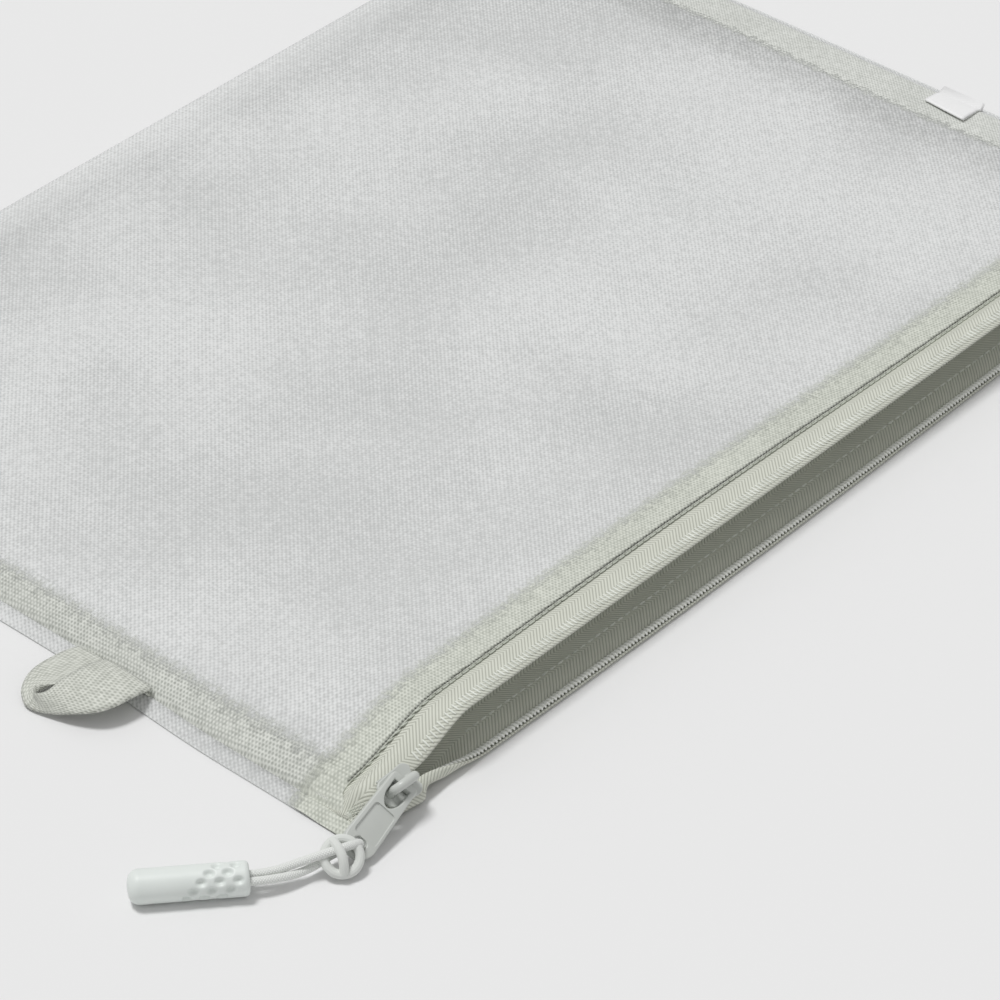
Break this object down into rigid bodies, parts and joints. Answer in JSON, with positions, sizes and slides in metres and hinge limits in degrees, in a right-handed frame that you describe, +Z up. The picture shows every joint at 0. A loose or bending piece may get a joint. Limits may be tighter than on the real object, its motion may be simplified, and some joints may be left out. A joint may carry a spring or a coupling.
{
  "type": "document wallet",
  "caption": "Flat mesh wallet for papers: two sheer panels, a coil zip along one long edge with a slider, tab and corded grip, a ribbon loop and a small label.",
  "frame": {"origin": "middle of the wallet's underside, on the table it lies on", "axes": "+X along the zip away from the slider, +Y from the zip to the back seam, +Z up"},
  "size_m": [0.3867, 0.2497, 0.0168],
  "materials": {
    "mesh": "sheer plain-weave nylon",
    "band": "folded double layer of the same mesh",
    "tape": "herringbone zip tape",
    "coil": "nylon coil",
    "thread": "sewing thread",
    "slider_paint": "satin paint on a zinc casting",
    "cord": "braided cord",
    "grip": "soft moulded plastic",
    "ribbon": "coarse plain-weave ribbon",
    "label": "blank white satin tape"
  },
  "bodies": {
    "wallet": {"top_panel": "mesh", "bottom_panel": "mesh", "loop_side_allowance": "band", "label_side_allowance": "band", "back_allowance": "band", "upper_zip_hem": "band", "lower_zip_hem": "band", "upper_zip_tape": "tape", "lower_zip_tape": "tape", "upper_coil": "coil", "lower_coil": "coil", "upper_coil_core": "thread", "lower_coil_core": "thread", "upper_zip_stitching": "thread", "lower_zip_stitching": "thread", "slider_end_bar_tack": "thread", "far_end_bar_tack": "thread", "loop_tail": "ribbon", "label_tail": "label"},
    "slider": {"slider_body": "slider_paint", "slider_bail": "slider_paint"},
    "pull_tab": {"pull_tab": "slider_paint"},
    "cord_pull": {"pull_cord": "cord", "cord_grip": "grip"},
    "ribbon_loop": {"ribbon_loop": "ribbon"},
    "label": {"label": "label"}
  },
  "joints": [
    {"name": "slider_slide", "type": "slide", "parent": "wallet", "child": "slider", "axis": [1, 0, 0], "range_m": [-0.001, 0.311], "deforming": ["top_panel", "bottom_panel", "loop_side_allowance", "label_side_allowance", "back_allowance", "upper_zip_hem", "lower_zip_hem", "upper_zip_tape", "lower_zip_tape", "upper_coil", "lower_coil", "upper_coil_core", "lower_coil_core", "upper_zip_stitching", "lower_zip_stitching", "slider_end_bar_tack", "far_end_bar_tack"]},
    {"name": "tab_swing", "type": "hinge", "parent": "slider", "child": "pull_tab", "pos_m": [-0.1556, -0.12317, 0.00856], "axis": [-0.2689, 0.7378, 0.6191], "range_deg": [0, 150]},
    {"name": "cord_swing", "type": "hinge", "parent": "pull_tab", "child": "cord_pull", "pos_m": [-0.17366, -0.12613, 0.00424], "axis": [0, 0, 1], "range_deg": [-35, 120], "deforming": ["pull_cord"]},
    {"name": "loop_flap", "type": "hinge", "parent": "wallet", "child": "ribbon_loop", "pos_m": [-0.1682, -0.04, 0.00447], "axis": [0, 1, 0], "range_deg": [0, 120]},
    {"name": "label_flap", "type": "hinge", "parent": "wallet", "child": "label", "pos_m": [0.1635, -0.042, 0.00616], "axis": [0, 1, 0], "range_deg": [0, 150]}
  ]
}
